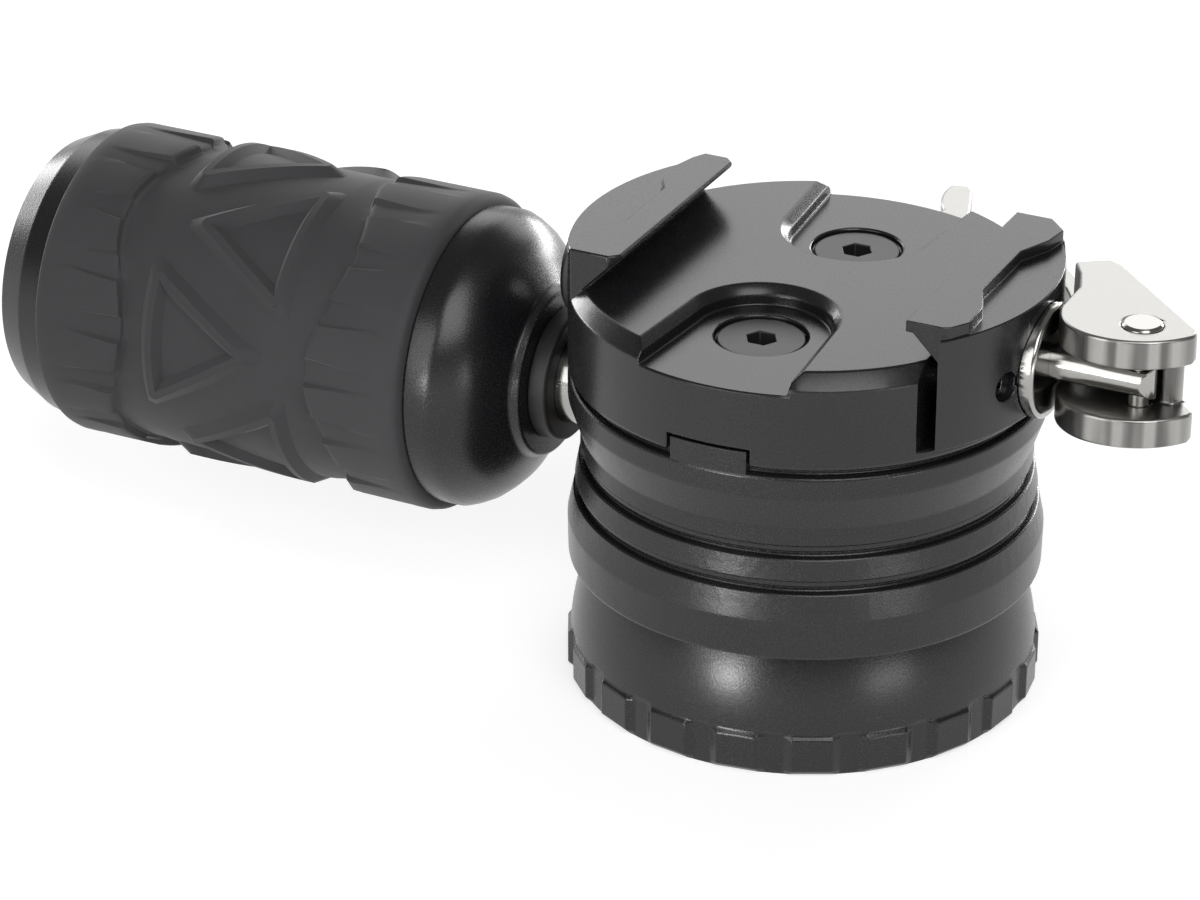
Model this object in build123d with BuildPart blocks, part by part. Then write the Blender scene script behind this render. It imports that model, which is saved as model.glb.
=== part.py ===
from build123d import *
import os
from math import atan2, cos, pi, radians, sin, sqrt, tan

# Levelling tripod head: a half ball base, a housing that leans, pans and locks on it,
# a handle that turns the lock, and a dovetail clamp with a cam lever.
# Millimetres. Origin at the centre of the base's bottom face, +Z up, the clamp lever
# on +X, the handle on -X, and the clamp's channel along Y.

# Fits and gaps
running_gap = 0.05      # radial, shafts and pins that turn or slide
sliding_gap = 0.1       # between flat faces that slide
grip_gap = 0.1          # between the ball and the two pieces that grip it
socket_gap = 0.25       # between the ball and the housing
parting_gap = 0.3       # between moving pieces that never touch

# Half ball base
ball_r = 26.0
ball_z = 3.0            # height of the ball's centre
ball_top_z = ball_z + ball_r
ball_wall = 4.5
opening_r = ball_r - 11.5
pad_count = 20
pad_phase = -63.5       # azimuth of one pad's middle
pad_proud = 0.35
pad_face_width = 4.48
pad_gap_width = 1.94
pad_gap_depth = 0.6
pad_top_z = 4.1
pad_ledge_z = 4.9
foot_chamfer = 0.65

# Base plate and tripod bushing
plate_r = ball_r - 1.0
plate_t = 2.0
plate_screw_count = 4
plate_screw_circle_r = plate_r - 1.9
plate_screw_phase = 45
plate_screw_r = 1.0
plate_screw_head_r = 1.75
plate_screw_length = 6.0
plate_socket_width = 1.2
bushing_r = 8.5
bushing_top_z = 9.5
bushing_flange_r = 10.4
bushing_flange_t = 2.5
tripod_thread_r = 3.97  # tapping bore of the 3/8 inch thread
tripod_thread_depth = 8.5

# Ring in the ball's opening
ring_wall = 1.65
ring_height = 2.2
ring_z = ball_top_z - 8.1
ring_groove_depth = 0.6
ring_edge = 0.4

# Clamping stack
stud_r = 4.0
stud_head_r = 7.0
stud_head_t = 3.0
stud_head_z = ball_top_z + 2.8
stud_end_z = ball_top_z - 15.0
stack_nut_width = 13.0
stack_nut_t = 2.8
spring_washer_t = 0.6
spring_washer_cone = 0.3
spring_washer_r = 8.0
cup_web_t = 2.4
cup_skirt_t = 1.15
cup_rim_z = ball_top_z - 17.8
press_ring_inner_r = ball_r - 9.5
press_ring_outer_r = ball_r - 5.6
press_pocket_relief = 1.0    # room inside the press ring, where the plunger's nose enters

# Housing
rim_z = ball_top_z - 14.76
rim_r = ball_r + 0.18
rim_edge = 0.25
belt_z = ball_top_z - 10.21
belt_r = ball_r + 0.26
low_groove_z = ball_top_z - 7.1
low_groove_r = ball_r - 0.4
upper_groove_z = ball_top_z - 3.22
upper_groove_r = ball_r - 1.0
groove_width = 0.63
groove_depth = 0.9
groove_step_width = 0.8
groove_step_depth = 0.35
groove_fall = 0.15      # how far each section's top edge lies inside the one below
neck_z = ball_top_z + 0.36
neck_r = ball_r - 1.17
crown_z = ball_top_z + 4.44
crown_r = ball_r + 0.2
crown_top_z = ball_top_z + 6.76
seat_z = ball_top_z + 7.63    # face that the clamp sits on
shadow_gap_depth = 1.0
key_width = 9.3
key_height = 2.0
liner_z = rim_z + 0.86
liner_height = 2.0
liner_wall = 1.0

# Handle
handle_z = ball_top_z
shaft_r = 5.3
grip_r = 18.3
bush_r = shaft_r + 1.7
bush_inner_x = 5.1 - ball_r
thread_pitch = 1.5
lock_turn = 180.0
plunger_r = shaft_r - 0.1
plunger_nose_r = 2.6
plunger_nose_x = 10.0 - ball_r
plunger_slope = 0.6
plunger_land = 0.8      # round part behind the plunger's cone
plunger_pin_r = 2.0
plunger_pin_length = 4.0
collar_x = -ball_r - 2.4
collar_r = shaft_r + 2.2
collar_edge = 0.3
cone_x = collar_x - 2.2
cone_lip_r = grip_r - 1.2
cone_face_r = cone_lip_r - 7.5
cone_throat_x = cone_x - 1.1
cone_throat_r = cone_lip_r - 7.2
cone_bell_x = cone_x - 2.6
cone_bell_r = cone_lip_r - 4.7
cone_flare_x = cone_x - 4.6
cone_flare_r = cone_lip_r - 2.1
cone_shoulder_x = cone_x - 7.1
cone_shoulder_r = cone_lip_r - 0.4
grip_front_x = cone_x - 10.6
shaft_outer_end_x = grip_front_x - 5.8
grip_length = 47.3
grip_back_x = grip_front_x - grip_length
grip_edge_r = 0.9
grip_band = 12.2        # length of the plain band at the front
grip_back_band = 11.0
grip_waist_r = grip_r - 0.5
grip_groove_r = grip_r - 0.9
grip_groove_width = 1.8
grip_wall = 2.6
core_wall = 2.6
core_web_t = 4.0
core_spigot_length = 5.0
cap_edge_r = grip_r - 0.9
cap_chamfer_x = grip_back_x - 2.8
cap_chamfer_r = cap_edge_r - 0.45
cap_end_x = grip_back_x - 6.1
cap_end_r = cap_edge_r - 2.0
cap_spigot_length = 3.0
cap_screw_r = 2.5
cap_screw_head_r = 4.7
cap_screw_length = 10.0
cap_socket_width = 3.0

# Clamp body
clamp_r = crown_r
floor_z = seat_z + 10.97
floor_chamfer = 1.6
body_edge = 0.4
lip_z = floor_z + 4.4
lip_land = 0.5          # upright part of a lip's edge, above the 45 degree side
shelf_z = lip_z - 1.3
fixed_lip_x = 10.3 - clamp_r
fixed_lip_half = 15.0
lip_corner = 1.0
pocket_r = 7.5
pocket_z = floor_z - 2.2
pocket_flare = 4.8      # degrees
pocket_chamfer = 1.0
clamp_screw_y = clamp_r - 13.6
clamp_screw_r = 2.5
clamp_screw_head_r = 4.7
clamp_screw_length = 14.0
clamp_screw_socket_width = 3.0
clamp_screw_sink = 0.35
clamp_screw_seat_r = 5.05
screw_head_edge = 0.4
seat_ledge_z = seat_z + 1.37    # top of the ledge under the movable jaw
seat_wall_x = clamp_r - 6.4

# Movable jaw, its rod and its lever
jaw_x = clamp_r - 4.6
jaw_shift = 1.2         # offset of the jaw's round side from the body's
jaw_lip_x = jaw_x - 4.1
jaw_lip_half = 15.4
rod_z = seat_z + 6.37
rod_r = 1.9
rod_end_x = -clamp_r - 0.8
nut_r = 5.9
nut_x = -clamp_r - 1.4
nut_t = 2.6
nut_edge = 0.6
washer_r = 6.3
washer_x = clamp_r + 0.1
washer_t = 2.0
washer_edge = 0.5
guide_y = 8.0
guide_head_r = 1.65
guide_head_x = clamp_r - 1.0
guide_end_x = guide_head_x - 16.6
guide_head_length = 2.2
guide_shank_r = 1.4
guide_socket_width = 1.5
spring_wire_r = 0.25
spring_coil_r = 2.0
spring_turns = 6
spring_seat_x = jaw_x - 7.8
pin_x = clamp_r + 11.6
pin_head_r = 2.2
pin_shank_r = 1.2
pin_bottom_z = rod_z - 6.3
pin_top_z = rod_z + 6.6
pin_edge = 0.3
lever_low_z = rod_z - 6.1
lever_top_z = rod_z + 6.3
lever_plate_t = 3.3
cam_x = washer_x + washer_t + 0.2    # flat side of the cam that faces the washer
arm_r = clamp_r + 2.1
arm_t = 1.8
arm_low_z = rod_z - 4.6
arm_top_z = rod_z + 1.0
arm_end_angle = 83.5
tab_t = 2.6             # thumb tab at the arm's end
tab_reach = 8.3
tab_width = 2.8
tab_bulge = 0.65        # how far its outer side curves out
tab_lean = 30.0         # degrees between the tab and the radius through its root

# Sizes that follow
ball_inner_r = ball_r - ball_wall
pad_r = ball_r + pad_proud
cup_r = ball_inner_r - grip_gap
press_seat_r = ball_r + grip_gap
socket_r = ball_r + socket_gap
ring_outer_r = opening_r + ring_groove_depth - running_gap
ring_inner_r = ring_outer_r - ring_wall
stack_nut_top_z = stud_end_z + stack_nut_t
spring_stack = 2 * (spring_washer_t + spring_washer_cone)
cup_web_z = stack_nut_top_z + spring_stack
cup_top_z = cup_web_z + cup_web_t
lock_travel = thread_pitch * lock_turn / 360
pocket_wall_r = press_ring_outer_r + parting_gap
shaft_hole_r = shaft_r + running_gap
clamp_seat_r = crown_r - shadow_gap_depth
jaw_bottom_z = seat_ledge_z + sliding_gap
core_r = grip_r - grip_wall
core_inner_r = core_r - core_wall
lower_plate_top_z = lever_low_z + lever_plate_t
upper_plate_z = lever_top_z - lever_plate_t
handle_axis = Axis((0, 0, handle_z), (1, 0, 0))


def sphere_z(radius, reach):
    """Height of a sphere round the ball's centre at a distance from the axis."""
    return ball_z + sqrt(radius**2 - reach**2)


def sphere_reach(radius, height):
    """Distance from the axis of a sphere round the ball's centre at a height."""
    return sqrt(radius**2 - (height - ball_z) ** 2)


def sphere_arc(radius, start_reach, start_z, end_reach, end_z):
    """Arc of a sphere's section between two of its points, in a BuildLine."""
    start = atan2(start_z - ball_z, start_reach)
    end = atan2(end_z - ball_z, end_reach)
    middle = (start + end) / 2
    return ThreePointArc(
        (radius * cos(start), ball_z + radius * sin(start)),
        (radius * cos(middle), ball_z + radius * sin(middle)),
        (radius * cos(end), ball_z + radius * sin(end)),
    )


def socket_screw(shank_r, length, head_r, socket_width):
    """Countersunk screw with a hexagon socket, its head's top at z 0, pointing down."""
    cone = head_r - shank_r
    with BuildPart() as screw:
        with BuildSketch(Plane.XZ):
            with BuildLine():
                Polyline(
                    (0, 0),
                    (head_r, 0),
                    (head_r, -screw_head_edge),
                    (shank_r, -screw_head_edge - cone),
                    (shank_r, -length),
                    (0, -length),
                    close=True,
                )
            make_face()
        revolve(axis=Axis.Z)
        with BuildSketch(Plane.XY):
            RegularPolygon(socket_width / 2, 6, major_radius=False)
        extrude(amount=-socket_width * 0.6, mode=Mode.SUBTRACT)
    return screw.part


# Half ball base

with BuildPart() as ball_base:
    ball_opening_z = sphere_z(ball_r, opening_r)
    with BuildSketch(Plane.XZ):
        with BuildLine():
            ledge_reach = sphere_reach(ball_r, pad_ledge_z)
            outside = sphere_arc(ball_r, ledge_reach, pad_ledge_z, opening_r, ball_opening_z)
            inside = sphere_arc(
                ball_inner_r, opening_r, sphere_z(ball_inner_r, opening_r), ball_inner_r, ball_z
            )
            Line(outside @ 1, inside @ 0)
            Polyline(
                inside @ 1,
                (ball_inner_r, plate_t),
                (plate_r, plate_t),
                (plate_r, 0),
                (pad_r - foot_chamfer, 0),
                (pad_r, foot_chamfer),
                (pad_r, pad_top_z),
                outside @ 0,
            )
        make_face()
    revolve(axis=Axis.Z)
    # groove for the opening's ring
    with BuildSketch(Plane.XY.offset(ring_z - sliding_gap)):
        Circle(opening_r + ring_groove_depth)
    extrude(amount=ring_height + 2 * sliding_gap, mode=Mode.SUBTRACT)
    # gaps between the grip pads
    gap_outer_width = 2 * pi * pad_r / pad_count - pad_face_width
    gap_floor_r = pad_r - pad_gap_depth
    gap_slope = (gap_outer_width - pad_gap_width) / 2 / pad_gap_depth
    with BuildSketch(Plane.XY):
        with PolarLocations(gap_floor_r, pad_count, start_angle=pad_phase + 180 / pad_count):
            Polygon(
                (0, -pad_gap_width / 2),
                (2 * pad_gap_depth, -pad_gap_width / 2 - 2 * pad_gap_depth * gap_slope),
                (2 * pad_gap_depth, pad_gap_width / 2 + 2 * pad_gap_depth * gap_slope),
                (0, pad_gap_width / 2),
                align=None,
            )
    extrude(amount=pad_ledge_z, mode=Mode.SUBTRACT)
    # threads of the plate's screws
    with Locations(Plane.XY.offset(plate_t)):
        with PolarLocations(plate_screw_circle_r, plate_screw_count, start_angle=plate_screw_phase):
            Cylinder(
                plate_screw_r,
                plate_screw_length - plate_t,
                align=(Align.CENTER, Align.CENTER, Align.MIN),
                mode=Mode.SUBTRACT,
            )

plate_screw = socket_screw(plate_screw_r, plate_screw_length, plate_screw_head_r, plate_socket_width)

with BuildPart() as base_plate_screws:
    with PolarLocations(plate_screw_circle_r, plate_screw_count, start_angle=plate_screw_phase):
        add(plate_screw.rotate(Axis.X, 180))

with BuildPart() as base_plate:
    with BuildSketch(Plane.XY):
        Circle(plate_r)
        Circle(bushing_r, mode=Mode.SUBTRACT)
    extrude(amount=plate_t)
    head_cone = plate_screw_head_r - plate_screw_r
    with BuildSketch(Plane.XY):
        with PolarLocations(plate_screw_circle_r, plate_screw_count, start_angle=plate_screw_phase):
            Circle(plate_screw_r)
    extrude(amount=plate_t, mode=Mode.SUBTRACT)
    with BuildSketch(Plane.XY):
        with PolarLocations(plate_screw_circle_r, plate_screw_count, start_angle=plate_screw_phase):
            Circle(plate_screw_head_r)
    extrude(amount=screw_head_edge, mode=Mode.SUBTRACT)
    with Locations(Plane.XY.offset(screw_head_edge)):
        with PolarLocations(plate_screw_circle_r, plate_screw_count, start_angle=plate_screw_phase):
            Cone(
                plate_screw_head_r,
                plate_screw_r,
                head_cone,
                align=(Align.CENTER, Align.CENTER, Align.MIN),
                mode=Mode.SUBTRACT,
            )

with BuildPart() as tripod_bushing:
    with BuildSketch(Plane.XZ):
        with BuildLine():
            Polyline(
                (tripod_thread_r, 0),
                (bushing_r, 0),
                (bushing_r, plate_t),
                (bushing_flange_r, plate_t),
                (bushing_flange_r, plate_t + bushing_flange_t),
                (bushing_r, plate_t + bushing_flange_t),
                (bushing_r, bushing_top_z),
                (0, bushing_top_z),
                (0, tripod_thread_depth),
                (tripod_thread_r, tripod_thread_depth),
                close=True,
            )
        make_face()
    revolve(axis=Axis.Z)

with BuildPart() as opening_ring:
    with BuildSketch(Plane.XY.offset(ring_z)):
        Circle(ring_outer_r)
        Circle(ring_inner_r, mode=Mode.SUBTRACT)
    extrude(amount=ring_height)
    chamfer(opening_ring.edges().filter_by(GeomType.CIRCLE).group_by(SortBy.RADIUS)[0], ring_edge)

# Clamping stack

with BuildPart() as draw_stud:
    with BuildSketch(Plane.XY.offset(stud_end_z)):
        Circle(stud_r)
    extrude(amount=stud_head_z - stud_end_z)
    with BuildSketch(Plane.XY.offset(stud_head_z)):
        Circle(stud_head_r)
    extrude(amount=stud_head_t)
    with BuildSketch(Plane.XY.offset(stud_head_z + stud_head_t)):
        RegularPolygon(clamp_screw_socket_width, 6, major_radius=False)
    extrude(amount=-stud_head_t / 2, mode=Mode.SUBTRACT)

with BuildPart() as cup_nut:
    with BuildSketch(Plane.XY.offset(stud_end_z)):
        RegularPolygon(stack_nut_width / 2, 6, major_radius=False)
        Circle(stud_r, mode=Mode.SUBTRACT)
    extrude(amount=stack_nut_t)

with BuildPart() as cup_spring_washers:
    for base_z, rise in ((stack_nut_top_z, -1), (stack_nut_top_z + spring_stack / 2, 1)):
        low_inner = spring_washer_cone * (rise > 0)
        low_outer = spring_washer_cone * (rise < 0)
        with BuildSketch(Plane.XZ):
            with BuildLine():
                Polyline(
                    (stud_r, base_z + low_inner),
                    (spring_washer_r, base_z + low_outer),
                    (spring_washer_r, base_z + low_outer + spring_washer_t),
                    (stud_r, base_z + low_inner + spring_washer_t),
                    close=True,
                )
            make_face()
        revolve(axis=Axis.Z, mode=Mode.ADD)

with BuildPart() as inner_cup:
    with BuildSketch(Plane.XZ):
        with BuildLine():
            cup_inner_r = sphere_reach(cup_r, cup_web_z) - cup_skirt_t
            skirt = sphere_arc(
                cup_r, sphere_reach(cup_r, cup_top_z), cup_top_z, sphere_reach(cup_r, cup_rim_z), cup_rim_z
            )
            Polyline(
                skirt @ 1,
                (cup_inner_r, cup_rim_z),
                (cup_inner_r, cup_web_z),
                (stud_r, cup_web_z),
                (stud_r, cup_top_z),
                skirt @ 0,
            )
        make_face()
    revolve(axis=Axis.Z)

# The plunger's cone lies over the press ring's slope, a lock's travel away from it.
plunger_shoulder_x = plunger_nose_x - (plunger_r - plunger_nose_r) / plunger_slope
slope_gap = lock_travel * plunger_slope + sliding_gap


def press_slope_z(reach):
    """Height of the press ring's slope, parallel to the plunger's lowest line."""
    return handle_z - plunger_r - slope_gap + (-plunger_shoulder_x - reach) * plunger_slope


with BuildPart() as press_ring:
    seat_end_z = sphere_z(press_seat_r, press_ring_outer_r)
    with BuildSketch(Plane.XZ):
        with BuildLine():
            seat = sphere_arc(
                press_seat_r,
                press_ring_inner_r,
                sphere_z(press_seat_r, press_ring_inner_r),
                press_ring_outer_r,
                seat_end_z,
            )
            Polyline(
                seat @ 1,
                (press_ring_outer_r, press_slope_z(press_ring_outer_r)),
                (press_ring_inner_r, press_slope_z(press_ring_inner_r)),
                seat @ 0,
            )
        make_face()
    revolve(axis=Axis.Z)

# Housing


def grooved_section(groove_z, below_r):
    """Points of a turned groove with its small step, from its lower edge up."""
    groove_top_z = groove_z + groove_width
    step_top_z = groove_top_z + groove_step_width
    above_r = below_r - groove_fall
    return [
        (below_r, groove_z),
        (below_r - groove_depth, groove_z),
        (below_r - groove_depth, groove_top_z),
        (above_r - groove_step_depth, groove_top_z),
        (above_r - groove_step_depth, step_top_z),
        (above_r, step_top_z),
    ]


stud_hole_r = stud_r + running_gap
press_pocket_top_z = press_slope_z(press_ring_inner_r) + parting_gap
press_pocket_inner_r = press_ring_inner_r - press_pocket_relief

with BuildPart() as housing:
    with BuildSketch(Plane.XZ):
        with BuildLine():
            socket_rim = sphere_arc(
                socket_r,
                sphere_reach(socket_r, rim_z),
                rim_z,
                pocket_wall_r,
                sphere_z(socket_r, pocket_wall_r),
            )
            dome = sphere_arc(
                socket_r,
                press_pocket_inner_r,
                sphere_z(socket_r, press_pocket_inner_r),
                stud_hole_r,
                sphere_z(socket_r, stud_hole_r),
            )
            Polyline(
                socket_rim @ 1,
                (pocket_wall_r, press_pocket_top_z),
                (press_pocket_inner_r, press_pocket_top_z),
                dome @ 0,
            )
            Polyline(
                dome @ 1,
                (stud_hole_r, seat_z),
                (clamp_seat_r, seat_z),
                (clamp_seat_r, crown_top_z),
                (crown_r - rim_edge, crown_top_z),
                (crown_r, crown_top_z - rim_edge),
                (crown_r, crown_z),
                (neck_r, neck_z),
                *reversed(grooved_section(upper_groove_z, upper_groove_r)),
                *reversed(grooved_section(low_groove_z, low_groove_r)),
                (belt_r, belt_z),
                (rim_r, rim_z + rim_edge),
                (rim_r - rim_edge, rim_z),
                socket_rim @ 0,
            )
        make_face()
    revolve(axis=Axis.Z)
    # key across the top
    with BuildSketch(Plane.XY.offset(seat_z)):
        Circle(clamp_seat_r)
        Rectangle(key_width, 2 * clamp_r, mode=Mode.INTERSECT)
    extrude(amount=key_height)
    # seat of the stud's head
    with BuildSketch(Plane.XY.offset(stud_head_z)):
        Circle(stud_head_r + running_gap)
    extrude(amount=seat_z + key_height - stud_head_z, mode=Mode.SUBTRACT)
    # threads of the clamp's screws
    clamp_screw_top_z = pocket_z - clamp_screw_sink
    with BuildSketch(Plane.XY.offset(seat_z + key_height)):
        with Locations((0, clamp_screw_y), (0, -clamp_screw_y)):
            Circle(clamp_screw_r)
    extrude(amount=clamp_screw_top_z - clamp_screw_length - seat_z - key_height, mode=Mode.SUBTRACT)
    # bore of the bush, and the plunger's way to the press ring
    with BuildSketch(Plane.YZ.offset(bush_inner_x)):
        with Locations((0, handle_z)):
            Circle(bush_r)
    extrude(amount=-ball_r, mode=Mode.SUBTRACT)
    with BuildSketch(Plane.YZ.offset(bush_inner_x)):
        with Locations((0, handle_z)):
            Circle(shaft_hole_r)
    extrude(amount=plunger_nose_x + lock_travel + parting_gap - bush_inner_x, mode=Mode.SUBTRACT)
    # seat of the rim's liner
    with BuildSketch(Plane.XY.offset(liner_z)):
        Circle(sphere_reach(socket_r, liner_z) + liner_wall)
    extrude(amount=liner_height, mode=Mode.SUBTRACT)

with BuildPart() as rim_liner:
    liner_top_z = liner_z + liner_height
    with BuildSketch(Plane.XZ):
        with BuildLine():
            liner_face = sphere_arc(
                socket_r,
                sphere_reach(socket_r, liner_z),
                liner_z,
                sphere_reach(socket_r, liner_top_z),
                liner_top_z,
            )
            liner_back_r = sphere_reach(socket_r, liner_z) + liner_wall
            Polyline(
                liner_face @ 1,
                (liner_back_r, liner_top_z),
                (liner_back_r, liner_z),
                liner_face @ 0,
            )
        make_face()
    revolve(axis=Axis.Z)

with BuildPart() as shaft_bush:
    with BuildSketch(Plane.YZ.offset(bush_inner_x)):
        with Locations((0, handle_z)):
            Circle(bush_r)
            Circle(shaft_hole_r, mode=Mode.SUBTRACT)
    extrude(amount=neck_r + bush_inner_x, dir=(-1, 0, 0))
    with BuildSketch(Plane.XY):
        Circle(neck_r)
    extrude(amount=crown_z + bush_r, mode=Mode.INTERSECT)


# Handle


def handle_profile(points):
    """Points of a turned piece on the handle's axis, from pairs of x and radius."""
    return [(x, handle_z + radius) for x, radius in points]


plunger_back_x = plunger_shoulder_x - plunger_land
plunger_pin_x = plunger_back_x - plunger_pin_length

with BuildPart() as lock_plunger:
    with BuildSketch(Plane.XZ):
        with BuildLine():
            Polyline(
                handle_profile(
                    [
                        (plunger_nose_x, 0),
                        (plunger_nose_x, plunger_nose_r),
                        (plunger_shoulder_x, plunger_r),
                        (plunger_back_x, plunger_r),
                        (plunger_back_x, plunger_pin_r),
                        (plunger_pin_x, plunger_pin_r),
                        (plunger_pin_x, 0),
                    ]
                ),
                close=True,
            )
        make_face()
    revolve(axis=handle_axis)

with BuildPart() as handle_shaft:
    pin_bore_r = plunger_pin_r + running_gap
    pin_bore_x = plunger_pin_x - parting_gap
    shaft_face_x = plunger_back_x - sliding_gap
    with BuildSketch(Plane.XZ):
        with BuildLine():
            Polyline(
                handle_profile(
                    [
                        (shaft_face_x, pin_bore_r),
                        (shaft_face_x, shaft_r),
                        (shaft_outer_end_x, shaft_r),
                        (shaft_outer_end_x, 0),
                        (pin_bore_x, 0),
                        (pin_bore_x, pin_bore_r),
                    ]
                ),
                close=True,
            )
        make_face()
    revolve(axis=handle_axis)

with BuildPart() as handle_collar:
    with BuildSketch(Plane.YZ.offset(collar_x)):
        with Locations((0, handle_z)):
            Circle(collar_r)
            Circle(shaft_r, mode=Mode.SUBTRACT)
    extrude(amount=cone_x - collar_x)
    collar_face_edges = handle_collar.edges().filter_by(GeomType.CIRCLE).group_by(Axis.X)[-1]
    chamfer(collar_face_edges.sort_by(SortBy.RADIUS)[-1], collar_edge)

with BuildPart() as handle_cone:
    cone_back_x = grip_front_x - core_spigot_length
    with BuildSketch(Plane.XZ):
        with BuildLine():
            Polyline(
                handle_profile(
                    [
                        (cone_back_x, core_inner_r),
                        (cone_back_x, shaft_r),
                        (cone_x, shaft_r),
                        (cone_x, cone_face_r),
                        (cone_throat_x, cone_throat_r),
                        (cone_bell_x, cone_bell_r),
                    ]
                )
            )
            ThreePointArc(
                handle_profile(
                    [
                        (cone_bell_x, cone_bell_r),
                        (cone_flare_x, cone_flare_r),
                        (cone_shoulder_x, cone_shoulder_r),
                    ]
                )
            )
            Polyline(
                handle_profile(
                    [
                        (cone_shoulder_x, cone_shoulder_r),
                        (cone_shoulder_x - 1, cone_lip_r),
                        (grip_front_x, cone_lip_r),
                        (grip_front_x, core_inner_r),
                        (cone_back_x, core_inner_r),
                    ]
                )
            )
        make_face()
    revolve(axis=handle_axis)

with BuildPart() as handle_core:
    with BuildSketch(Plane.YZ.offset(grip_front_x)):
        with Locations((0, handle_z)):
            Circle(core_r)
            Circle(core_inner_r, mode=Mode.SUBTRACT)
    extrude(amount=grip_back_x - grip_front_x)
    core_web_x = grip_back_x + cap_spigot_length
    with BuildSketch(Plane.YZ.offset(core_web_x)):
        with Locations((0, handle_z)):
            Circle(core_inner_r)
            Circle(cap_screw_r, mode=Mode.SUBTRACT)
    extrude(amount=core_web_t)

with BuildPart() as rubber_grip:
    waist_front_x = grip_front_x - grip_band - grip_groove_width
    waist_back_x = grip_back_x + grip_back_band + grip_groove_width
    with BuildSketch(Plane.XZ):
        with BuildLine():
            Polyline(
                handle_profile(
                    [
                        (grip_back_x, core_r),
                        (grip_front_x, core_r),
                        (grip_front_x, grip_r - grip_edge_r),
                        (grip_front_x - grip_edge_r, grip_r),
                        (grip_front_x - grip_band, grip_r),
                        (grip_front_x - grip_band, grip_groove_r),
                        (waist_front_x, grip_groove_r),
                        (waist_front_x - grip_groove_width, grip_waist_r),
                        (waist_back_x + grip_groove_width, grip_waist_r),
                        (waist_back_x, grip_groove_r),
                        (grip_back_x + grip_back_band, grip_groove_r),
                        (grip_back_x + grip_back_band, grip_r),
                        (grip_back_x + grip_edge_r, grip_r),
                        (grip_back_x, grip_r - grip_edge_r),
                    ]
                ),
                close=True,
            )
        make_face()
    revolve(axis=handle_axis)

with BuildPart() as end_cap:
    cap_spigot_x = grip_back_x + cap_spigot_length
    cap_head_x = cap_end_x + screw_head_edge
    cap_cone_x = cap_head_x + cap_screw_head_r - cap_screw_r
    with BuildSketch(Plane.XZ):
        with BuildLine():
            Polyline(
                handle_profile(
                    [
                        (cap_spigot_x, cap_screw_r),
                        (cap_spigot_x, core_inner_r),
                        (grip_back_x, core_inner_r),
                        (grip_back_x, cap_edge_r),
                        (cap_chamfer_x, cap_chamfer_r),
                        (cap_end_x, cap_end_r),
                        (cap_end_x, cap_screw_head_r),
                        (cap_head_x, cap_screw_head_r),
                        (cap_cone_x, cap_screw_r),
                    ]
                ),
                close=True,
            )
        make_face()
    revolve(axis=handle_axis)

cap_screw_shape = socket_screw(cap_screw_r, cap_screw_length, cap_screw_head_r, cap_socket_width)

with BuildPart() as cap_screw:
    with Locations(Location((cap_end_x, 0, handle_z), (0, -90, 0))):
        add(cap_screw_shape)

# Clamp body

clamp_screw_places = ((0, clamp_screw_y), (0, -clamp_screw_y))
lip_root_x = fixed_lip_x - (lip_z - lip_land - floor_z)
jaw_undercut_z = lip_z - lip_land - (jaw_x - jaw_lip_x)
nut_seat_x = nut_x + nut_t

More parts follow.
